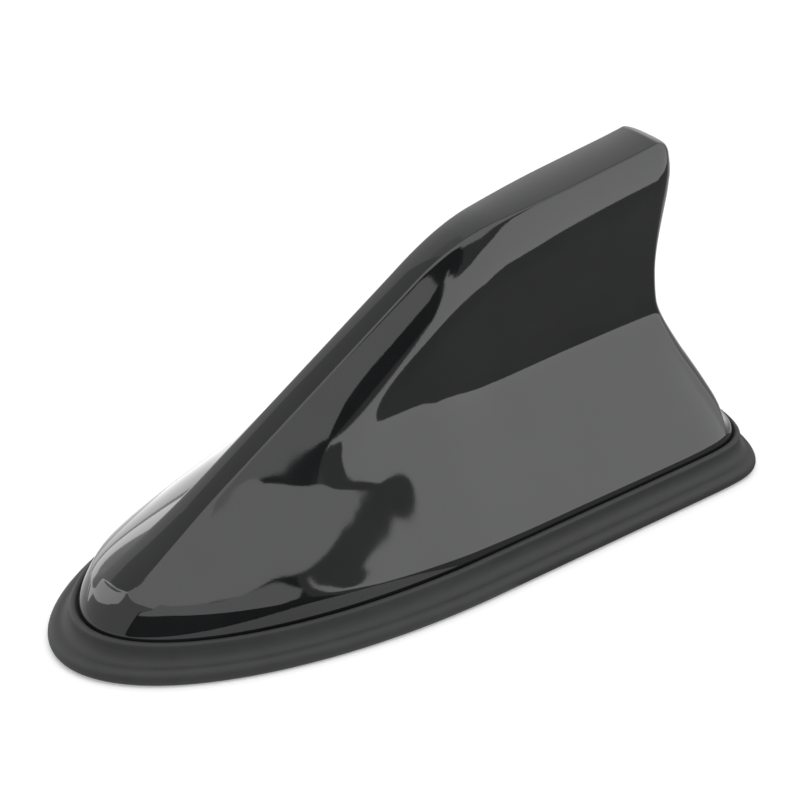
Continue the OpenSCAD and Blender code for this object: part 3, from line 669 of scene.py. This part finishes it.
def make_camera():
    az, el = math.radians(CAM_AZ), math.radians(CAM_EL)
    back = Vector((-math.sin(az) * math.cos(el), -math.cos(az) * math.cos(el), math.sin(el)))
    cam = bpy.data.objects.new("camera", bpy.data.cameras.new("camera"))
    cam.data.sensor_width = CAM_SENSOR
    cam.data.lens = CAM_LENS
    cam.data.clip_start = 0.01
    cam.data.clip_end = 20
    cam.location = Vector(CAM_AIM) + back * CAM_DIST
    cam.rotation_euler = back.to_track_quat("Z", "Y").to_euler()
    bpy.context.scene.collection.objects.link(cam)
    bpy.context.scene.camera = cam


def direction(az, el):
    """Unit vector at azimuth az from -Y towards +X and elevation el, in degrees."""
    a, e = math.radians(az), math.radians(el)
    return Vector((math.sin(a) * math.cos(e), -math.cos(a) * math.cos(e), math.sin(e)))


def emission(name, strength):
    mat = bpy.data.materials.new(name)
    mat.use_nodes = True
    n, link = mat.node_tree.nodes, mat.node_tree.links
    n.clear()
    glow = n.new("ShaderNodeEmission")
    glow.inputs["Strength"].default_value = strength
    out = n.new("ShaderNodeOutputMaterial")
    link.new(glow.outputs[0], out.inputs["Surface"])
    return mat


def card(name, points, rows, strength):
    """Softbox or dark flag seen only in gloss, from its columns of points."""
    bm = bmesh.new()
    grid = [[bm.verts.new(p) for p in column] for column in points]
    for c, d in zip(grid, grid[1:]):
        for j in range(rows):
            bm.faces.new((c[j], d[j], d[j + 1], c[j + 1]))
    obj = new_object(name, bm)
    dress(obj, emission(name, strength))
    obj.visible_camera = False
    obj.visible_diffuse = False
    obj.visible_transmission = False
    obj.visible_shadow = False


def between(columns, step=1.5):
    """Columns of azimuth, low and high, filled in every few degrees."""
    for (a0, l0, h0), (a1, l1, h1) in zip(columns, columns[1:]):
        count = max(1, round((a1 - a0) / step))
        for i in range(count):
            t = i / count
            yield mix(a0, a1, t), mix(l0, l1, t), mix(h0, h1, t)
    yield columns[-1]


def dome_card(name, columns, radius, strength, rows=24):
    """Part of a sphere; low and high are elevations in degrees."""
    points = [[CARD_AIM + direction(az, mix(low, high, j / rows)) * radius
               for j in range(rows + 1)] for az, low, high in between(columns)]
    card(name, points, rows, strength)


def wall_card(name, columns, radius, strength, rows=4):
    """Part of an upright cylinder round the neck; low and high are heights in mm."""
    points = [[direction(az, 0) * radius + Vector((0, 0, mix(low, high, j / rows) * MM))
               for j in range(rows + 1)] for az, low, high in between(columns)]
    card(name, points, rows, strength)


def floor_card(name, columns, height, strength, rows=4):
    """Flat on the floor; low and high are distances from the neck in mm."""
    points = [[direction(az, 0) * mix(low, high, j / rows) * MM + Vector((0, 0, height))
               for j in range(rows + 1)] for az, low, high in between(columns, 3)]
    card(name, points, rows, strength)


CARD_AIM = Vector((-0.01, -0.01, 0.03))
NEAR = 0.3  # radius of the upright cards

# Columns of azimuth, low and high. The cards on the dome have elevations in degrees, the near
# upright ones heights in mm, and those on the floor distances in mm. The first four lists were
# given first, and a fitting program then moved them to match the tones of the photo.
SOFT_TOP = [(-150, 50, 88), (-120, 56, 88), (-90, 62, 88), (-60, 62, 88), (-40, 61, 88),
            (-25, 60, 88), (-18, 56.5, 88), (-12, 53, 88), (-7, 51, 88), (-2, 49, 88),
            (3, 46.5, 88), (8, 43.5, 88), (12, 41.5, 88), (16, 40.5, 88), (24, 40, 88),
            (30, 38.5, 88), (36, 38, 88), (60, 38, 88)]
SOFT_LIP = [(10, 300, 480), (14, 295, 480), (18, 282, 480), (21, 270, 480), (24, 266, 480),
            (27, 260, 480), (30, 254, 480), (36, 254, 480), (60, 254, 480)]
SOFT_FRONT = [(-75, 150, 650), (-50, 135, 584), (-35, 125, 514), (-27, 118, 440),
              (-20, 118, 391), (-13, 118, 354), (-10, 118, 336), (-7, 154, 317),
              (-4, 196, 293), (-2, 196, 270), (0, 210, 250), (2, 230, 231)]
SOFT_SIDE = [(5, 222, 256), (6.5, 196, 224), (8, 165, 216), (10, 104, 191), (12, 48, 178),
             (15, 44, 186), (18, 40, 200), (21, 38, 207), (24, 36, 211), (27, 26, 214),
             (30, 20, 220), (33, 30, 227), (36, 36, 229), (39, 28, 232), (43, 23, 234),
             (50, 35, 230), (70, 30, 208)]
FAR_RIGHT = [(60, 8, 70), (162, 8, 70)]
FAR_LEFT = [(162, 9, 60), (204, 9, 60)]
FAR_BACK = [(148, 1, 9), (206, 1, 9)]
NOSE_BOX = [(-160, 6, 58), (-140, 16, 58), (-120, 28, 60)]
DIM_LEFT = [(-168, 36, 84), (-160, 38, 84), (-152, 42, 82), (-142, 47, 78), (-134, 51, 72),
            (-126, 55, 66)]
FLAG_FRONT = [(-75, -3, 88), (9, -3, 88)]
FLAG_SIDE = [(9, -3, 88), (75, -3, 88)]
FLOOR_FRONT = [(-75, 190, 1500), (8, 190, 1500)]
FLOOR_SIDE = [(8, 30, 1500), (75, 30, 1500)]
FLOOR_BACK = [(148, 60, 1500), (206, 60, 1500)]

CARDS = (  # how it is made, name, columns, radius or height in m, strength
    (dome_card, "flag_front", FLAG_FRONT, 1.6, 0.05),
    (dome_card, "flag_side", FLAG_SIDE, 1.6, 0.4),
    (floor_card, "floor_flag_front", FLOOR_FRONT, 0.002, 0.03),
    (floor_card, "floor_flag_side", FLOOR_SIDE, 0.001, 0.38),
    (dome_card, "softbox_top", SOFT_TOP, 1.5, 2.35),
    (wall_card, "softbox_lip", SOFT_LIP, NEAR, 2.35),
    (wall_card, "softbox_front", SOFT_FRONT, NEAR, 1.7),
    (wall_card, "softbox_side", SOFT_SIDE, NEAR, 2.75),
    (dome_card, "softbox_far_right", FAR_RIGHT, 1.55, 1.25),
    (dome_card, "softbox_far_left", FAR_LEFT, 1.5, 1.2),
    (dome_card, "softbox_back", FAR_BACK, 1.5, 3.2),
    (floor_card, "floor_back", FLOOR_BACK, 0.001, 2.0),
    (dome_card, "softbox_nose", NOSE_BOX, 1.4, 3.5),
    (dome_card, "dim_left", DIM_LEFT, 1.35, 0.72),
)


def make_cards():
    for make, name, columns, place, strength in CARDS:
        make(name, columns, place, strength)


def light_path(n, link, names):
    """Highest of the named Light Path outputs."""
    path = n.new("ShaderNodeLightPath")
    last = path.outputs[names[0]]
    for name in names[1:]:
        top = n.new("ShaderNodeMath")
        top.operation = "MAXIMUM"
        link.new(last, top.inputs[0])
        link.new(path.outputs[name], top.inputs[1])
        last = top.outputs[0]
    return last


SEEN = ("Is Camera Ray", "Is Glossy Ray", "Is Transmission Ray")


def make_world():
    world = bpy.data.worlds.new("studio")
    bpy.context.scene.world = world
    world.use_nodes = True
    n, link = world.node_tree.nodes, world.node_tree.links
    n.clear()
    out = n.new("ShaderNodeOutputWorld")
    fill = n.new("ShaderNodeBackground")
    fill.inputs["Strength"].default_value = FILL_LIGHT
    white = n.new("ShaderNodeBackground")
    white.inputs["Strength"].default_value = WHITE
    for back in (fill, white):
        back.inputs["Color"].default_value = (1, 1, 1, 1)
    blend = n.new("ShaderNodeMixShader")
    link.new(light_path(n, link, SEEN), blend.inputs["Fac"])
    link.new(fill.outputs[0], blend.inputs[1])
    link.new(white.outputs[0], blend.inputs[2])
    link.new(blend.outputs[0], out.inputs["Surface"])


def make_floor():
    """Pale floor in the roof plane. It is white where it is seen or mirrored, less the shadow."""
    bm = bmesh.new()
    bmesh.ops.create_circle(bm, cap_ends=True, segments=96, radius=FLOOR_RADIUS)
    floor = new_object("floor", bm)
    mat = bpy.data.materials.new("floor")
    mat.use_nodes = True
    n, link = mat.node_tree.nodes, mat.node_tree.links
    n.clear()
    pale = n.new("ShaderNodeBsdfDiffuse")
    pale.inputs["Color"].default_value = (FLOOR_PALE, FLOOR_PALE, FLOOR_PALE, 1)
    lift = n.new("ShaderNodeEmission")
    gain = n.new("ShaderNodeMath")
    gain.operation = "MULTIPLY"
    gain.inputs[1].default_value = FLOOR_LIFT
    link.new(light_path(n, link, SEEN), gain.inputs[0])
    link.new(gain.outputs[0], lift.inputs["Strength"])
    both = n.new("ShaderNodeAddShader")
    link.new(pale.outputs[0], both.inputs[0])
    link.new(lift.outputs[0], both.inputs[1])
    clear = n.new("ShaderNodeBsdfTransparent")
    side = n.new("ShaderNodeNewGeometry")
    under = n.new("ShaderNodeMixShader")
    link.new(side.outputs["Backfacing"], under.inputs["Fac"])
    link.new(both.outputs[0], under.inputs[1])
    link.new(clear.outputs[0], under.inputs[2])
    out = n.new("ShaderNodeOutputMaterial")
    link.new(under.outputs[0], out.inputs["Surface"])
    dress(floor, mat)


def make_lamp():
    """Large soft lamp high over the nose side, not mirrored in the gloss."""
    lamp = bpy.data.lights.new("soft_lamp", "AREA")
    lamp.shape = "DISK"
    lamp.size = LAMP_SIZE
    lamp.energy = LAMP_WATTS
    obj = bpy.data.objects.new("soft_lamp", lamp)
    bpy.context.scene.collection.objects.link(obj)
    back = direction(LAMP_AZ, LAMP_EL)
    obj.location = CARD_AIM + back * LAMP_FAR
    obj.rotation_euler = back.to_track_quat("Z", "Y").to_euler()
    obj.visible_glossy = False
    obj.visible_camera = False


def main():
    scene = bpy.context.scene
    scene.view_settings.view_transform = "Standard"
    make_pieces()
    dress_inner()
    make_camera()
    make_world()
    make_floor()
    make_cards()
    make_lamp()


main()
